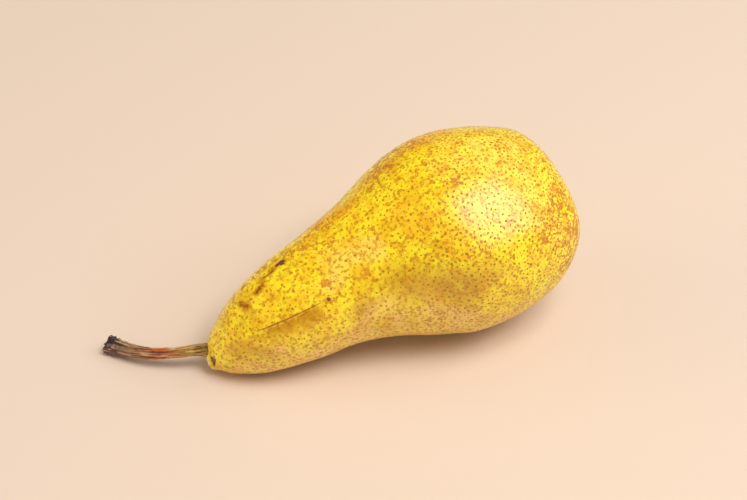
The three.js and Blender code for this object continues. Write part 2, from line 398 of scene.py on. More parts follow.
EYE_RUSSET = (108.0, 124.0)  # from the stem end: where it begins and is full
EYE_RUSSET_STRENGTH = 0.2
BASIN_RUSSET_STRENGTH = 0.5
RUSSET_LIMIT, OCHRE_LIMIT = 0.8, 0.95  # what patches that overlap come to at most
BELLY_PAINTED_SHEEN = (70.0, 100.0)  # the same, for the painted sheen on the belly's upper side
BELLY_PAINTED_SHEEN_STRENGTH = 0.7
FACING_UP = (0.1, 0.7)  # the skin's upward direction where the painted sheen begins and where it is full
FACING_DOWN = (0.05, 0.9)  # its downward direction where the painted bounce light on the underside begins and is full

russet = np.minimum(near_lines(flesh_grid, RUSSET_PATCHES), RUSSET_LIMIT)
russet = russet + EYE_RUSSET_STRENGTH * smoothstep(*EYE_RUSSET, x_grid)
russet = russet + BASIN_RUSSET_STRENGTH * in_basin + near_lines(flesh_grid, STEM_JOINT_RUSSET)
skin_up = flesh_normals[..., 2]
bloom = BELLY_PAINTED_SHEEN_STRENGTH * smoothstep(*BELLY_PAINTED_SHEEN, x_grid) * smoothstep(*FACING_UP, skin_up)
bloom = bloom + near_lines(flesh_grid, PAINTED_SHEEN_PATCHES)
painted_bounce_light = smoothstep(*FACING_DOWN, -skin_up) + near_lines(flesh_grid, PAINTED_BOUNCE_PATCHES)
skin_values = {
    "russet": russet,
    "blush": near_lines(flesh_grid, BLUSH_PATCHES),
    "ochre": np.minimum(near_lines(flesh_grid, OCHRE_AND_SHADE_PATCHES), OCHRE_LIMIT),
    "bloom": bloom,
    "painted_bounce_light": painted_bounce_light,
    "flake": near_lines(flesh_grid, FLAKES),
    "stain": near_lines(flesh_grid, STAINS),
    "green": near_lines(flesh_grid, GREEN_PATCHES),
    "bruise": bruise,
    "lip": lip,
    "cleft": cleft,
}
for name, skin_value in skin_values.items():
    add_values(flesh, name, poles_and_rings(skin_value))

# Ripe pear skin: translucent yellow cells under a thin natural wax, so the light that it
# reflects is broad and soft. Each tint is (the value that draws it, its weight, lump size in
# mm, where it starts and is full in noise of 0 to 1, strength, colour).
SKIN_LEMON = "#FAE624"
SKIN_TINTS = [
    ("", 0.0, 20.0, 0.40, 0.62, 0.50, "#F2CC0A"),
    ("blush", 0.6, 7.0, 0.70, 1.05, 0.70, "#F8AE20"),
    # painted sheen: a pale cream where the belly's top and the neck's crest face the light
    ("bloom", 0.6, 11.0, 0.70, 1.05, 0.50, "#FAD670"),
    # partly painted shade: this tint darkens the band below the belly's lit top
    ("ochre", 1.0, 3.0, 0.75, 1.65, 0.85, "#BA7602"),
    ("", 0.0, 5.0, 0.48, 0.60, 0.50, "#E4A804"),
    # painted bounce light: a creamy tint on the downward side
    ("painted_bounce_light", 0.6, 7.0, 0.70, 1.25, 0.85, "#F8CA80"),
    ("green", 0.6, 5.0, 0.70, 1.05, 0.50, "#C6B622"),
    ("bruise", 0.7, 3.0, 0.68, 1.20, 1.0, "#CC9600"),
    ("", 0.0, 1.5, 0.53, 0.60, 0.75, "#CA8C10"),
    ("", 0.0, 2.3, 0.61, 0.66, 0.80, "#CE7A0A"),
    ("flake", 0.5, 1.3, 0.86, 0.90, 0.85, "#D28A1E"),
    ("stain", 0.5, 1.6, 0.62, 0.95, 0.75, "#C6740A"),
    ("stain", 0.5, 1.0, 0.94, 1.10, 0.85, "#76380A"),
    # painted highlight: pale cream along the lip's ridge
    ("lip", 0.8, 1.0, 0.72, 1.00, 0.90, "#E4CE9C"),
    # painted shade: dark brown inside the fold by the stem
    ("cleft", 0.8, 0.5, 0.80, 1.20, 1.0, "#744808"),
]
skin, tree, surface = new_material("waxy_pear_skin")
in_mm = millimetres(tree)
ground = linear(SKIN_LEMON)
for name, weight, size, start, full, strength, colour in SKIN_TINTS:
    inputs = {"Vector": in_mm, "Scale": 1 / size, "Detail": 4.0, "Roughness": 0.6}
    cloud = add_node(tree, "TexNoise", inputs).outputs["Fac"]
    if name:
        drawn = add_node(tree, "Attribute", attribute_name=name).outputs["Fac"]
        inputs = {0: drawn, 1: weight, 2: cloud}
        cloud = add_node(tree, "Math", inputs, operation="MULTIPLY_ADD").outputs["Value"]
    inputs = {"Value": cloud, "From Min": start, "From Max": full, "To Max": strength}
    share = add_node(tree, "MapRange", inputs).outputs["Result"]
    inputs = {0: share, 6: ground, 7: linear(colour)}
    ground = add_node(tree, "Mix", inputs, data_type="RGBA").outputs[2]
# Russet is dry cork that spreads over the skin in worm-like lines, the level lines of a noise.
RUSSET_SIZE = 3.2
RUSSET_HALF_WIDTH = 0.10  # of a line, in the noise's own range, where russet is at its full value
RUSSET_SHORTFALL = 0.03  # taken off that width, so that weak russet shows no line
RUSSET_SOFT_EDGE = 0.018
RUSSET_COVER = 0.85
inputs = {"Vector": in_mm, "Scale": 1 / RUSSET_SIZE, "Detail": 2.0}
worms = add_node(tree, "TexNoise", inputs).outputs["Fac"]
worms = add_node(tree, "Math", {0: worms, 1: 0.5}, operation="SUBTRACT").outputs["Value"]
worms = add_node(tree, "Math", {0: worms}, operation="ABSOLUTE").outputs["Value"]
drawn = add_node(tree, "Attribute", attribute_name="russet").outputs["Fac"]
inputs = {0: drawn, 1: RUSSET_HALF_WIDTH, 2: -RUSSET_SHORTFALL}
worm_width = add_node(tree, "Math", inputs, operation="MULTIPLY_ADD").outputs["Value"]
dryness = add_node(tree, "Math", {0: worm_width, 1: worms}, operation="SUBTRACT").outputs["Value"]
inputs = {"Value": dryness, "From Min": 0.0, "From Max": RUSSET_SOFT_EDGE, "To Max": RUSSET_COVER}
dryness = add_node(tree, "MapRange", inputs).outputs["Result"]
# Pigment flecks round the breathing pores: one in each cell of about 1.9 mm, some of them faint.
PORE_SPACING = 1.9
PORE_RADIUS = (0.12, 0.38)  # as shares of the spacing: of the fleck's full colour, and of its edge
pores = add_node(tree, "TexVoronoi", {"Vector": in_mm, "Scale": 1 / PORE_SPACING})
inputs = {"Value": pores.outputs["Distance"], "To Min": 1.0, "To Max": 0.0}
inputs |= {"From Min": PORE_RADIUS[0], "From Max": PORE_RADIUS[1]}
pore_share = add_node(tree, "MapRange", inputs).outputs["Result"]
inputs = {"Value": pores.outputs["Color"], "From Min": 0.2, "From Max": 0.8, "To Max": 1.0}
pore_strength = add_node(tree, "MapRange", inputs).outputs["Result"]
inputs = {0: pore_share, 1: pore_strength}
pore_share = add_node(tree, "Math", inputs, operation="MULTIPLY").outputs["Value"]
for share, colour in ((dryness, "#C6740C"), (pore_share, "#B27604")):
    inputs = {0: share, 6: ground, 7: linear(colour)}
    ground = add_node(tree, "Mix", inputs, data_type="RGBA").outputs[2]
tree.links.new(ground, surface.inputs["Base Color"])
# The wax is satin, russet is dull, and the skin is very slightly dimpled.
WAX_ROUGHNESS, RUSSET_ROUGHNESS = 0.32, 0.6
DIMPLE_SIZE, DIMPLE_DEPTH = 1.6, 0.06
inputs = {"Value": dryness, "To Min": WAX_ROUGHNESS, "To Max": RUSSET_ROUGHNESS}
roughness = add_node(tree, "MapRange", inputs).outputs["Result"]
tree.links.new(roughness, surface.inputs["Roughness"])
inputs = {"Vector": in_mm, "Scale": 1 / DIMPLE_SIZE, "Detail": 3.0}
dimples = add_node(tree, "TexNoise", inputs).outputs["Fac"]
inputs = {"Height": dimples, "Distance": DIMPLE_DEPTH * MM}
relief = add_node(tree, "Bump", inputs).outputs["Normal"]
tree.links.new(relief, surface.inputs["Normal"])
surface.inputs["IOR"].default_value = 1.5
surface.inputs["Specular IOR Level"].default_value = 0.8
surface.inputs["Subsurface Weight"].default_value = 0.12
surface.inputs["Subsurface Radius"].default_value = (1.0, 0.55, 0.12)
surface.inputs["Subsurface Scale"].default_value = 2.5 * MM
flesh.data.materials.append(skin)
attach(flesh, "root")
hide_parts("pear_body")

# ---- Lenticels ----
# The skin breathes through lenticels: small corky dots, nearly flush with it, evenly spaced and
# closer together towards the calyx. Each is a low dome of cork cells, sunk into the skin.

LENTICEL_SPACING = [  # (from the stem end, how far apart)
    (0, 1.85), (45, 1.7), (80, 1.35), (110, 1.15), (125, 1.1),
]
LENTICEL_RADIUS = (0.30, 0.56)
LENTICEL_WOBBLE = 0.2  # how far from round they are, as a share of the radius
LENTICEL_RISE = 0.02
LENTICEL_EDGE_DEPTH = 0.011
LENTICEL_ROOT = 0.15
LENTICEL_SIDES = 7
LENTICEL_SEED = 41
LENTICEL_THROWS = 80000
BARE_CLEFT = 0.05  # none stands where the fold by the stem is deeper than this share,
BARE_END_RADIUS = 5.5  # nor nearer the core line than this,
BARE_FLAT_HEIGHT = 0.1  # nor within this of the resting flats
BROWNING_CHANCE = 0.6  # the share of its brown that is chance; the rest is its place
BROWNING_SPAN = (30.0, 90.0)  # from the stem end: where they begin to brown and are brownest
# Painted bounce light: lenticels are paler where the skin faces down.
SHADE_SPAN = (-0.6, 0.3)  # the skin's upward direction where they are palest and brownest
SHADE_BROWNING = 0.4  # the share of its brown that a lenticel on the underside keeps
NEIGHBOURS = list(itertools.product((-1, 0, 1), repeat=3))
lenticel_draw = random.Random(LENTICEL_SEED)

corner = flesh_grid[1:-1]
across_quad = np.roll(corner, -1, 1)[:-1] - corner[:-1]
quad_area = np.linalg.norm(np.cross(across_quad, corner[1:] - corner[:-1]), axis=2)
chances = np.cumsum(quad_area.ravel())
blocked = (cleft > BARE_CLEFT) | (girth < BARE_END_RADIUS)
blocked |= flesh_grid[..., 2] < REST[2] + BARE_FLAT_HEIGHT
cell = max(apart for _, apart in LENTICEL_SPACING)
kept = {}
spots, facing, tints = [], [], []
throws = [lenticel_draw.random() * chances[-1] for _ in range(LENTICEL_THROWS)]
for pick in np.searchsorted(chances, throws):
    i, j = divmod(int(pick), FLESH_SIDES)
    after = (j + 1) % FLESH_SIDES
    u, v, tint = lenticel_draw.random(), lenticel_draw.random(), lenticel_draw.random()
    if blocked[i + 1, j]:
        continue
    spot = (1 - u) * ((1 - v) * corner[i, j] + v * corner[i, after])
    spot = spot + u * ((1 - v) * corner[i + 1, j] + v * corner[i + 1, after])
    apart = np.interp(spot[0], *zip(*LENTICEL_SPACING))
    home = tuple(int(c) for c in spot // cell)
    around = [(home[0] + a, home[1] + b, home[2] + c) for a, b, c in NEIGHBOURS]
    if any(math.dist(spot, other) < apart for key in around for other in kept.get(key, ())):
        continue
    kept.setdefault(home, []).append(spot)
    spots.append(spot)
    facing.append(flesh_normals[i + 1, j])
    tints.append(tint)

spots, facing, tints = np.array(spots), np.array(facing), np.array(tints)
first = np.cross(facing, [0.3, 0.5, 0.8])
first /= np.linalg.norm(first, axis=1)[:, None]
second = np.cross(facing, first)
lenticel_radii = LENTICEL_RADIUS[0] + (LENTICEL_RADIUS[1] - LENTICEL_RADIUS[0]) * tints
turn = angles_round(LENTICEL_SIDES)[None]
radii = 1 + LENTICEL_WOBBLE * np.sin(2 * turn + 40 * tints[:, None])
radii = lenticel_radii[:, None] * radii
edge = directions_round(turn, first, second) * radii[..., None]
edge = spots[:, None] + edge - LENTICEL_EDGE_DEPTH * facing[:, None]
top, root = spots + LENTICEL_RISE * facing, spots - LENTICEL_ROOT * facing
lenticel_points = np.concatenate([edge, top[:, None], root[:, None]], axis=1).reshape(-1, 3)
lenticel_faces = []
for k in range(len(spots)):
    base = k * (LENTICEL_SIDES + 2)
    top_point, root_point = base + LENTICEL_SIDES, base + LENTICEL_SIDES + 1
    for j in range(LENTICEL_SIDES):
        here, there = base + j, base + (j + 1) % LENTICEL_SIDES
        lenticel_faces += [(here, there, top_point), (there, here, root_point)]
lenticels = add_mesh("lenticels", lenticel_points, lenticel_faces)
lenticels.data.set_sharp_from_angle(angle=math.radians(60))
brown = (1 - BROWNING_CHANCE) * smoothstep(*BROWNING_SPAN, spots[:, 0])
brown = BROWNING_CHANCE * tints + brown
brown *= SHADE_BROWNING + (1 - SHADE_BROWNING) * smoothstep(*SHADE_SPAN, facing[:, 2])
add_values(lenticels, "browning", np.repeat(brown, LENTICEL_SIDES + 2))

# Cork: matt olive-brown, browner towards the belly, paler where the skin faces down as painted
# bounce light, and ochre in patches.
CORK_PATCH_SIZE = 7.0
cork, tree, surface = new_material("corky_lenticel")
browning = add_node(tree, "Attribute", attribute_name="browning").outputs["Fac"]
inputs = {"Vector": millimetres(tree), "Scale": 1 / CORK_PATCH_SIZE, "Detail": 2.0}
patch = add_node(tree, "TexNoise", inputs).outputs["Fac"]
inputs = {"Value": patch, "From Min": 0.52, "From Max": 0.66}
ochre = add_node(tree, "MapRange", inputs).outputs["Result"]
cork_colour = linear("#CC9A0C")
for share, colour in ((browning, "#9A7008"), (ochre, "#BA7E06")):
    inputs = {0: share, 6: cork_colour, 7: linear(colour)}
    cork_colour = add_node(tree, "Mix", inputs, data_type="RGBA").outputs[2]
tree.links.new(cork_colour, surface.inputs["Base Color"])
surface.inputs["Roughness"].default_value = 0.6
surface.inputs["Specular IOR Level"].default_value = 0.3
lenticels.data.materials.append(cork)
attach(lenticels, "root")

# ---- Healed marks ----
# A few places where the skin was rubbed or pricked have healed with thin dry corky tissue: the
# line of the crease, a scab and small dark scratches, all standing a little over the skin.

MARKS = [  # (line on the skin, half width, height, darkness)
    ([(12.4, -10.9, 25.0), (22.8, -14.6, 30.5), (34.0, -16.4, 35.3)], 0.26, 0.01, 0.0),
    ([(25.0, -15.7, 30.9), (27.2, -16.1, 31.9), (29.4, -16.3, 32.9)], 0.14, 0.01, 0.0),
    ([(24.4, 2.8, 37.7), (26.4, 2.6, 38.6), (28.1, 2.5, 39.4)], 0.9, 0.25, 1.0),
    ([(26.0, 1.7, 38.5), (27.6, 1.4, 39.3)], 0.5, 0.15, 0.8),
    ([(19.4, 1.9, 34.7), (21.2, 1.5, 35.9), (22.9, 1.1, 37.0)], 0.2, 0.04, 0.5),
    ([(35.2, -16.7, 35.4), (36.0, -16.5, 36.2)], 0.6, 0.05, 0.7),
    ([(24.0, -13.4, 32.7), (24.4, -13.3, 33.2)], 0.35, 0.05, 0.4),
    ([(70, 29, 22), (74, 30, 24)], 0.35, 0.1, 0.5),
    ([(52, 20, 40), (53.5, 20, 41)], 0.5, 0.15, 0.8),
]
MARK_STEP = 0.3
MARK_FEWEST_STEPS = 9
MARK_SIDES = 10
MARK_ROOT = 0.15
MARK_RAGGEDNESS = (0.45, 0.8)  # how much the width varies, as a share, and over what length


def flat_tube(path, across, upward, half_width, rise, root, sides):
    """Rings of a flat closed tube along a path, standing rise over it and root below it."""
    turn = angles_round(sides)
    rise, root, half_width = (np.asarray(size)[:, None] for size in (rise, root, half_width))
    height = np.where(np.sin(turn) > 0, rise, root) * np.sin(turn)
    wide = half_width * np.cos(turn)
    return path[:, None] + wide[..., None] * across[:, None] + height[..., None] * upward[:, None]


def joined(grids):
    """Several turned grids as the points and faces of one mesh, and how many points each has."""
    points, faces, counts = [], [], []
    for grid in grids:
        start = sum(counts)
        part = poles_and_rings(grid)
        points.append(part)
        faces += [tuple(start + k for k in face) for face in turned_faces(*grid.shape[:2])]
        counts.append(len(part))
    return np.concatenate(points), faces, counts


skin_tree = BVHTree.FromPolygons(flesh_points.tolist(), flesh_faces)
raggedness, rag_length = MARK_RAGGEDNESS
mark_grids = []
for line, half_width, height, _ in MARKS:
    length = sum(math.dist(a, b) for a, b in zip(line[:-1], line[1:]))
    steps = max(MARK_FEWEST_STEPS, int(length / MARK_STEP))
    path, _ = curve_through(line, steps, True)
    found = [skin_tree.find_nearest(p) for p in path.tolist()]
    path = np.array([hit[0] for hit in found])
    upward = np.array([hit[1] for hit in found])
    ahead = np.gradient(path, axis=0)
    across = np.cross(upward, ahead)
    across /= np.linalg.norm(across, axis=1)[:, None]
    taper = np.sqrt(np.clip(1 - np.linspace(-1, 1, steps) ** 2, 0, 1))
    ragged = half_width * taper * (1 + raggedness * noise_at(path, rag_length))
    sizes = ragged, height * taper, MARK_ROOT * taper
    mark_grids.append(flat_tube(path, across, upward, *sizes, MARK_SIDES))
points, faces, counts = joined(mark_grids)
marks = add_mesh("healed_marks", points, faces)
marks.data.set_sharp_from_angle(angle=math.radians(60))
add_values(marks, "darkness", np.repeat([mark[3] for mark in MARKS], counts))

# Wound cork: dry, matt and cracked, from ochre where it is thin to purplish brown where thick.
WOUND_FLECK_SIZE = 0.6
scar, tree, surface = new_material("wound_cork")
darkness = add_node(tree, "Attribute", attribute_name="darkness").outputs["Fac"]
inputs = {"Vector": millimetres(tree), "Scale": 1 / WOUND_FLECK_SIZE, "Detail": 3.0}
flecks = add_node(tree, "TexNoise", inputs).outputs["Fac"]
inputs = {"Value": flecks, "From Min": 0.5, "From Max": 0.7}
cracks = add_node(tree, "MapRange", inputs).outputs["Result"]
scar_colour = linear("#B06E14")
for share, colour in ((darkness, "#602C2E"), (cracks, "#8F6A3C")):
    inputs = {0: share, 6: scar_colour, 7: linear(colour)}
    scar_colour = add_node(tree, "Mix", inputs, data_type="RGBA").outputs[2]
tree.links.new(scar_colour, surface.inputs["Base Color"])
surface.inputs["Roughness"].default_value = 0.75
surface.inputs["Specular IOR Level"].default_value = 0.25
marks.data.materials.append(scar)
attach(marks, "root")

# ---- Stem ----
# The stem is one woody stalk, grown out of the neck. Drying has shrunk its bark into ridges that
# run along it, and it flares to the dark, knobby scar where it parted from the twig.

STEM_LINE = [
    (3, 0.5, 9.4), (-3, 4.6, 8.2), (-10, 7.5, 7), (-17, 11.6, 5.5), (-23, 17, 4.3),
    (-29, 24.4, 3.4),
]
STEM_OUTLINE = [  # (share of the length, radius)
    (0, 0), (0, 1.6), (0.02, 2.1), (0.1, 2.25), (0.22, 1.85), (0.4, 1.75), (0.6, 1.9), (0.8, 2.2),
    (0.93, 2.7), (0.985, 2.9), (1, 2.5), (0.99, 1), (0.985, 0),
]
STEM_RINGS = 260
STEM_SIDES = 72
STEM_STEPS = 400
RINGS_ON_SCAR = 2.0  # how much closer the rings are there
RINGS_CLOSE_UP = (-2.0, 2.0)  # from the stem's length, measured along its outline
STEM_RADIUS = 2.2
STEM_RIDGES = [  # (how many round the stem, height, turn of the first, twist along the stem)
    (3, 0.16, 0.6, 1.2), (5, 0.11, 2.1, -0.9), (8, 0.07, 4.0, 1.6), (13, 0.04, 1.0, -2.0),
]
BARK_LUMPS = [(3.0, 0.16), (1.1, 0.1)]  # (size, height)
FLARE = (0.8, 1.0)  # shares of the length between which the stem flares to its scar
FLARE_RIDGES = 1.2  # how much higher the ridges are there
KNOB_HEIGHT, KNOB_LUMP_SIZE, KNOB_LUMP_HEIGHT = 0.55, 1.1, 0.5
SCAR_SLANT = (0.1, -0.75, -0.65)  # the side on which the end runs on furthest
SCAR_SLANT_LENGTH = 1.0
SCAR_SLANT_SPAN = (0.9, 1.0)  # shares of the length
SCAR_RADIUS = 2.9
GRAIN_STRETCH = 9.0  # how many times longer than wide the streaks of the bark are

stem_path, _ = curve_through(STEM_LINE, STEM_STEPS, True)
stem_length = np.linalg.norm(np.diff(stem_path, axis=0), axis=1).sum()
stem_outline = [(share * stem_length, wide) for share, wide in STEM_OUTLINE]
close_up = [stem_length + run for run in RINGS_CLOSE_UP]
stem_rings = rings_of(
    stem_outline, STEM_RINGS, lambda run: 1 + RINGS_ON_SCAR * smoothstep(*close_up, run)
)
stem_share, stem_radius = stem_rings[:, 0] / stem_length, np.maximum(stem_rings[:, 1], 0)
place, up, side, along = lines_across(STEM_LINE, stem_share, stem_length)
run_grid, turn_grid = np.meshgrid(stem_share, angles_round(STEM_SIDES), indexing="ij")
outward = directions_round(turn_grid, up, side)
smooth_grid = place[:, None] + stem_radius[:, None, None] * outward
flare = smoothstep(*FLARE, run_grid)
ridges = sum(
    height * np.cos(count * turn_grid + phase + twist * run_grid)
    for count, height, phase, twist in STEM_RIDGES
)
bark = ridges * (1 + FLARE_RIDGES * flare)
for lump_size, height in BARK_LUMPS:
    bark = bark + height * noise_at(smooth_grid, lump_size)
knobs = KNOB_HEIGHT * flare * np.cos(3 * turn_grid - 0.6)
knobs = knobs + KNOB_LUMP_HEIGHT * flare * noise_at(smooth_grid, KNOB_LUMP_SIZE)
thickness = stem_radius[:, None] * (1 + (bark + knobs) / STEM_RADIUS)
slant = SCAR_SLANT_LENGTH * smoothstep(*SCAR_SLANT_SPAN, run_grid)
slant = slant * (outward @ np.array(SCAR_SLANT))
stem_grid = place[:, None] + thickness[..., None] * outward
stem_grid = stem_grid + (slant * thickness / SCAR_RADIUS)[..., None] * along[:, None]
stem = add_mesh("woody_stem", poles_and_rings(stem_grid), turned_faces(STEM_RINGS, STEM_SIDES))
grain = [thickness * np.cos(turn_grid), thickness * np.sin(turn_grid)]
grain = np.stack([*grain, run_grid * stem_length / GRAIN_STRETCH], 2)
add_values(stem, "grain", poles_and_rings(grain))
add_values(stem, "share", poles_and_rings(run_grid))
add_values(stem, "hollow", poles_and_rings(-bark))
add_values(stem, "under", poles_and_rings(0.5 - 0.5 * outward[..., 2]))

# Dry bark over wood: matt, streaked along the grain. Ripe olive-yellow tissue lives on at the
# root, the middle has dried to orange brown, and the scar is weathered to a slaty black.
STEM_COLOURS = [  # (share of the length, colour)
    (0.10, "#75581E"), (0.20, "#B08C34"), (0.34, "#A87E30"), (0.46, "#B8622A"), (0.60, "#B05C2C"),
    (0.74, "#A67C50"), (0.87, "#7C5E48"), (0.94, "#45404A"), (1.0, "#302E38"),
]
COLOUR_DRIFT, COLOUR_DRIFT_SIZE = 0.17, 1.6  # how far the colours shift along the stem, as a share
wood, tree, surface = new_material("dried_stem_bark")
grain = add_node(tree, "Attribute", attribute_name="grain").outputs["Vector"]
share = add_node(tree, "Attribute", attribute_name="share").outputs["Fac"]
inputs = {"Vector": grain, "Scale": 1 / COLOUR_DRIFT_SIZE, "Detail": 3.0}
drift = add_node(tree, "TexNoise", inputs).outputs["Fac"]
inputs = {0: drift, 1: 2 * COLOUR_DRIFT, 2: -COLOUR_DRIFT}
shifted = add_node(tree, "Math", inputs, operation="MULTIPLY_ADD").outputs["Value"]
shifted = add_node(tree, "Math", {0: share, 1: shifted}, operation="ADD").outputs["Value"]
ramp = add_node(tree, "ValToRGB", {"Fac": shifted})
stops = ramp.color_ramp.elements
stops.remove(stops[1])
stops[0].position, stops[0].color = STEM_COLOURS[0][0], linear(STEM_COLOURS[0][1])
for position, colour in STEM_COLOURS[1:]:
    stops.new(position).color = linear(colour)
bark_colour = ramp.outputs["Color"]
# A muted reddish brown over the downward side of the stem's far part.
under = add_node(tree, "Attribute", attribute_name="under").outputs["Fac"]
far_underside = add_node(tree, "Math", {0: under, 1: share}, operation="MULTIPLY").outputs["Value"]
inputs = {"Value": far_underside, "From Min": 0.3, "From Max": 0.65, "To Max": 0.7}
bark_layers = [(add_node(tree, "MapRange", inputs).outputs["Result"], "#8A5A4E")]
BARK_STREAKS = [  # (width, where it starts and is full in noise of 0 to 1, strength, colour)
    (0.55, 0.49, 0.60, 0.80, "#48282A"), (0.7, 0.54, 0.64, 0.7, "#D2B080"),
]
for size, start, full, strength, colour in BARK_STREAKS:
    inputs = {0: grain, 1: (size * 31, 0, 0)}  # another part of the noise for each kind of streak
    shift = add_node(tree, "VectorMath", inputs, operation="ADD").outputs["Vector"]
    inputs = {"Vector": shift, "Scale": 1 / size, "Detail": 4.0}
    streak = add_node(tree, "TexNoise", inputs).outputs["Fac"]
    inputs = {"Value": streak, "From Min": start, "From Max": full, "To Max": strength}
    bark_layers.append((add_node(tree, "MapRange", inputs).outputs["Result"], colour))
# Painted shade: darker brown in the grooves between the bark's ridges.
hollow = add_node(tree, "Attribute", attribute_name="hollow").outputs["Fac"]
inputs = {"Value": hollow, "From Min": 0.05, "From Max": 0.35, "To Max": 0.7}
bark_layers.append((add_node(tree, "MapRange", inputs).outputs["Result"], "#3A2417"))
for amount, colour in bark_layers:
    inputs = {0: amount, 6: bark_colour, 7: linear(colour)}
    bark_colour = add_node(tree, "Mix", inputs, data_type="RGBA").outputs[2]
tree.links.new(bark_colour, surface.inputs["Base Color"])
surface.inputs["Roughness"].default_value = 0.62
FIBRE_WIDTH, FIBRE_DEPTH = 0.3, 0.12
inputs = {"Vector": grain, "Scale": 1 / FIBRE_WIDTH, "Detail": 3.0}
fibres = add_node(tree, "TexNoise", inputs).outputs["Fac"]
relief = add_node(tree, "Bump", {"Height": fibres, "Distance": FIBRE_DEPTH * MM}).outputs["Normal"]
tree.links.new(relief, surface.inputs["Normal"])
stem.data.materials.append(wood)
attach(stem, "root")
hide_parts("stem")

# ---- Calyx ----
# The dried remains of the flower stand in the basin at the fruit's far end: a low woody cup with
# five pointed sepals, curled as they dried, round a tuft of withered stamens.

CUP_X = 121.6
CUP_OUTLINE = [  # (height, radius)
    (-1, 0), (-1, 2.6), (0.4, 3.3), (1.6, 3.2), (1.5, 2.4), (0.4, 1.9), (0, 0),
]
CUP_RINGS = 60
CUP_SIDES = 60
CUP_WAVES = [(0.04, 9, 0.0), (0.03, 17, 1.0)]  # (share of the radius, how many, turn)
CUP_LUMPS = (0.12, 0.9)  # (height, size)
CUP_LUMPS_START = (1.0, 2.0)  # off the axis: where the lumps begin and are full
CUP_WORN = (1.2, 1.6)  # the height at which the rim begins to be worn pale, and is
SEPAL_COUNT = 5
SEPAL_LENGTH = 5.0
SEPAL_SHORTEST = 0.88  # as a share of that length
SEPAL_LEAN = 0.5
SEPAL_HALF_WIDTH = 1.6
SEPAL_WAVES = 0.12  # of its edges, as a share of its half width
SEPAL_ROOT = 2.3
SEPAL_ROOT_INSIDE = 0.6  # how far its hidden end reaches in under the stamens
SEPAL_RISE = 0.9
SEPAL_CURL = 0.085
SEPAL_TIP_CURL = 0.9
SEPAL_TIP_RETURN = 0.5  # how far the curled tip turns back towards the eye
SEPAL_CUPPING = (0.12, 0.1)  # at its root, and how much more there is at its tip
SEPAL_CRUMPLE = 0.07
SEPAL_LUMPS = (0.12, 1.0)  # (height, size)
SEPAL_THICKNESS = 0.22
SEPAL_STEPS = 40
SEPAL_SIDES = 24
STAMEN_COUNT = 18
STAMEN_STEPS = 16
STAMEN_SIDES = 6
STAMEN_ROOT = (1.9, 0.3)  # (off the axis, above the eye)
STAMEN_RADIUS = 0.09
ANTHER_RADIUS = 0.2  # added to the stamen's radius in a bulge at
ANTHER_PLACE, ANTHER_REACH = 0.9, 0.07  # this share of its length, over this share of it
CALYX_SEED = 7

calyx_draw = random.Random(CALYX_SEED)
at_eye = lines_across(CORE_LINE, np.array([CUP_X / FLESH_LENGTH]), FLESH_LENGTH)
eye, up, side, along = (direction[0] for direction in at_eye)


def on_calyx(grid):
    """A grid made round the calyx's own axis, stood on the floor of the eye."""
    return eye + grid[..., :1] * side + grid[..., 1:2] * up + grid[..., 2:] * along


cup_rings = rings_of(CUP_OUTLINE, CUP_RINGS, np.ones_like)
cup_angles = angles_round(CUP_SIDES)
waviness = 1 + sum(share * np.sin(count * cup_angles + phase) for share, count, phase in CUP_WAVES)
cup_radius = np.maximum(cup_rings[:, 1], 0)[:, None] * waviness
cup_grid = [np.cos(cup_angles) * cup_radius, np.sin(cup_angles) * cup_radius]
cup_grid = np.stack([*cup_grid, cup_rings[:, :1] + 0 * cup_radius], 2)
lump_height, lump_size = CUP_LUMPS
cup_lumps = lump_height * noise_at(cup_grid, lump_size)
cup_grid[..., 2] += cup_lumps * smoothstep(*CUP_LUMPS_START, cup_radius)
calyx_grids = [on_calyx(cup_grid)]
calyx_edges = [smoothstep(*CUP_WORN, cup_grid[..., 2])]

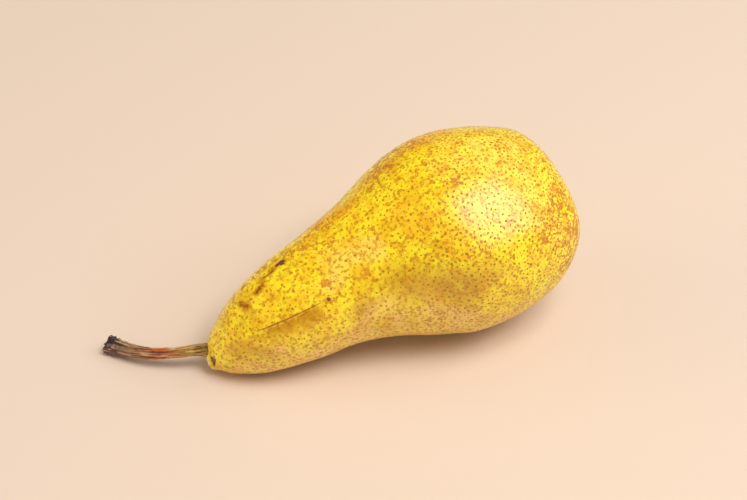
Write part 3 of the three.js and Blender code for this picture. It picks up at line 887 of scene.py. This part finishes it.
t = np.linspace(0, 1, SEPAL_STEPS)
sepal_across = np.tile([0.0, 1.0, 0.0], (SEPAL_STEPS, 1))
sepal_upward = np.tile([0.0, 0.0, 1.0], (SEPAL_STEPS, 1))
sepal_thickness = SEPAL_THICKNESS * np.sqrt(np.clip(1 - t ** 8, 0, 1))
sepal_outline = SEPAL_HALF_WIDTH * np.clip(1 - t ** 1.9, 0, 1) ** 0.8 * smoothstep(-0.4, 0.3, t)
sepal_cupping = (SEPAL_CUPPING[0] + SEPAL_CUPPING[1] * t)[:, None]
lump_height, lump_size = SEPAL_LUMPS
for index in range(SEPAL_COUNT):
    turn = index * 2 * math.pi / SEPAL_COUNT
    length = SEPAL_LENGTH * calyx_draw.uniform(SEPAL_SHORTEST, 1.0)
    lean = calyx_draw.uniform(-SEPAL_LEAN, SEPAL_LEAN)
    out = SEPAL_ROOT - SEPAL_ROOT_INSIDE + (length + SEPAL_ROOT_INSIDE) * t
    out = out - SEPAL_TIP_RETURN * smoothstep(0.75, 1, t)
    curl = SEPAL_CURL * ((out - SEPAL_ROOT) * t) ** 2 * calyx_draw.uniform(0.9, 1.05)
    tip_curl = SEPAL_TIP_CURL * smoothstep(0.7, 1, t) * calyx_draw.uniform(0.2, 0.7)
    half_width = sepal_outline * (1 + SEPAL_WAVES * np.sin(9 * t + index))
    path = np.stack([out, lean * t ** 2, SEPAL_RISE + curl + tip_curl], 1)
    sizes = half_width, sepal_thickness, sepal_thickness
    grid = flat_tube(path, sepal_across, sepal_upward, *sizes, SEPAL_SIDES)
    off_middle = grid[..., 1] - path[:, None, 1]
    crumple = SEPAL_CRUMPLE * np.sin(3.2 * off_middle) * np.sin(5 * t[:, None])
    grid[..., 2] += sepal_cupping * off_middle ** 2 + crumple
    grid[..., 2] += lump_height * noise_at(grid, lump_size)
    x, y = grid[..., 0].copy(), grid[..., 1].copy()
    grid[..., 0] = x * math.cos(turn) - y * math.sin(turn)
    grid[..., 1] = x * math.sin(turn) + y * math.cos(turn)
    calyx_grids.append(on_calyx(grid))
    worn = np.clip(np.abs(off_middle) / np.maximum(half_width, 0.2)[:, None], 0, 1) ** 4
    calyx_edges.append(worn)

t = np.linspace(0, 1, STAMEN_STEPS)
anther = ANTHER_RADIUS * np.exp(-((t - ANTHER_PLACE) / ANTHER_REACH) ** 2)
stamen_radius = (STAMEN_RADIUS + anther) * np.sqrt(np.clip(1 - t ** 12, 0, 1))
for index in range(STAMEN_COUNT):
    turn = (index + calyx_draw.uniform(-0.3, 0.3)) * 2 * math.pi / STAMEN_COUNT
    inward, height = calyx_draw.uniform(0.2, 1.5), calyx_draw.uniform(1.5, 2.6)
    bend = calyx_draw.uniform(-0.8, 0.8)
    out, heading = STAMEN_ROOT[0] - inward * t ** 1.5, turn + bend * t
    path = [out * np.cos(heading), out * np.sin(heading), STAMEN_ROOT[1] + height * t]
    outward = np.tile([math.cos(turn), math.sin(turn), 0.0], (STAMEN_STEPS, 1))
    sideways = np.tile([math.sin(turn), -math.cos(turn), 0.0], (STAMEN_STEPS, 1))
    sizes = [stamen_radius] * 3
    grid = flat_tube(np.stack(path, 1), outward, sideways, *sizes, STAMEN_SIDES)
    calyx_grids.append(on_calyx(grid))
    calyx_edges.append(np.zeros((STAMEN_STEPS, STAMEN_SIDES)))

points, faces, counts = joined(calyx_grids)
calyx = add_mesh("dried_calyx", points, faces)
stamen_values = [0.0] * (1 + SEPAL_COUNT) + [1.0] * STAMEN_COUNT
add_values(calyx, "stamen", np.repeat(stamen_values, counts))
add_values(calyx, "edge", np.concatenate([poles_and_rings(edge) for edge in calyx_edges]))

# Withered flower tissue: papery and matt, grey-brown with paler worn edges.
VEIN_SIZE, VEIN_DEPTH = 0.9, 0.15
sepal, tree, surface = new_material("withered_sepal")
inputs = {"Vector": millimetres(tree), "Scale": 1 / VEIN_SIZE, "Detail": 4.0}
veins = add_node(tree, "TexNoise", inputs).outputs["Fac"]
inputs = {"Value": veins, "From Min": 0.35, "From Max": 0.7}
faded = add_node(tree, "MapRange", inputs).outputs["Result"]
stamen = add_node(tree, "Attribute", attribute_name="stamen").outputs["Fac"]
edge = add_node(tree, "Attribute", attribute_name="edge").outputs["Fac"]
worn = add_node(tree, "Math", {0: edge, 1: veins}, operation="MULTIPLY").outputs["Value"]
papery = linear("#33241A")
for share, colour in ((faded, "#80664A"), (stamen, "#5E4227"), (worn, "#B29468")):
    inputs = {0: share, 6: papery, 7: linear(colour)}
    papery = add_node(tree, "Mix", inputs, data_type="RGBA").outputs[2]
tree.links.new(papery, surface.inputs["Base Color"])
surface.inputs["Roughness"].default_value = 0.85
relief = add_node(tree, "Bump", {"Height": veins, "Distance": VEIN_DEPTH * MM}).outputs["Normal"]
tree.links.new(relief, surface.inputs["Normal"])
calyx.data.materials.append(sepal)
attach(calyx, "root")
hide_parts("calyx")

# ---- Table, light and camera ----
# The fruit lies on a plain pale surface, seen through a long lens from above its side. Soft light
# from the ceiling and from a wall on each side shows its form, and its wax mirrors only a soft
# window and the wall behind.

SURFACE_SIZE = 6.0
CAMERA_AZIMUTH = math.radians(-23.1)
CAMERA_ELEVATION = math.radians(42.0)
CAMERA_DISTANCE = 0.6088
CAMERA_TARGET = Vector((-0.0210, 0.0156, 0.0199))
LENS_MM = 85.0
LIGHT_TARGET = Vector((0, 0, 0.03))

bpy.ops.mesh.primitive_plane_add(size=SURFACE_SIZE)
table = bpy.context.object
table.name = "table_surface"
# Matt emulsion paint on board: rolled on, so it is even and has no gloss.
paint, _, surface = new_material("matt_beige_paint")
surface.inputs["Base Color"].default_value = linear("#DAC7B5")
surface.inputs["Roughness"].default_value = 0.85
table.data.materials.append(paint)

towards_camera = Vector((
    math.sin(CAMERA_AZIMUTH) * math.cos(CAMERA_ELEVATION),
    -math.cos(CAMERA_AZIMUTH) * math.cos(CAMERA_ELEVATION),
    math.sin(CAMERA_ELEVATION),
))
camera = bpy.data.objects.new("camera", bpy.data.cameras.new("camera"))
camera.data.lens = LENS_MM
camera.data.clip_start = 0.01
camera.location = CAMERA_TARGET + towards_camera * CAMERA_DISTANCE
camera.rotation_euler = towards_camera.to_track_quat("Z", "Y").to_euler()
bpy.context.scene.collection.objects.link(camera)
bpy.context.scene.camera = camera

right = Vector((math.cos(CAMERA_AZIMUTH), math.sin(CAMERA_AZIMUTH), 0))
away = Vector((-math.sin(CAMERA_AZIMUTH), math.cos(CAMERA_AZIMUTH), 0))
# The fruit only mirrors the two lights called sheen, and is lit only by the other three.
SOFTBOXES = [  # (name, distance, to the right, away, up, sides, power, colour)
    ("window_sheen", 1.3, 0.45, -0.40, 0.80, (0.85, 1.25), 15.5, "#FFE6F0"),
    ("back_wall_sheen", 1.5, 0.35, 0.75, 0.75, (2.0, 1.4), 5.2, "#FFE2BE"),
    ("ceiling", 1.5, 0.32, -0.26, 0.90, (0.75, 0.75), 18.8, "#FFFCF8"),
    ("right_wall", 1.5, 0.9, 0.0, 0.75, (0.8, 0.8), 5.8, "#FFFFFF"),
    ("left_wall", 1.5, -1.0, 0.0, 0.3, (0.8, 0.8), 6.6, "#FFEBD2"),
]
for name, distance, rightward, backward, upward, sides, power, colour in SOFTBOXES:
    lamp = bpy.data.lights.new(name, "AREA")
    lamp.shape = "RECTANGLE"
    lamp.size, lamp.size_y = sides
    lamp.energy = power
    lamp.color = linear(colour)[:3]
    box = bpy.data.objects.new(name, lamp)
    box.visible_glossy = name.endswith("sheen")
    box.visible_diffuse = not box.visible_glossy
    direction = (right * rightward + away * backward + Vector((0, 0, upward))).normalized()
    box.location = LIGHT_TARGET + direction * distance
    box.rotation_euler = direction.to_track_quat("Z", "Y").to_euler()
    bpy.context.scene.collection.objects.link(box)

world = bpy.data.worlds.new("studio")
bpy.context.scene.world = world
world.use_nodes = True
background = world.node_tree.nodes["Background"]
background.inputs["Color"].default_value = linear("#FFF6EC")
background.inputs["Strength"].default_value = 0.40
world.cycles_visibility.glossy = False
bpy.context.scene.view_settings.view_transform = "Standard"

bpy.context.view_layer.update()
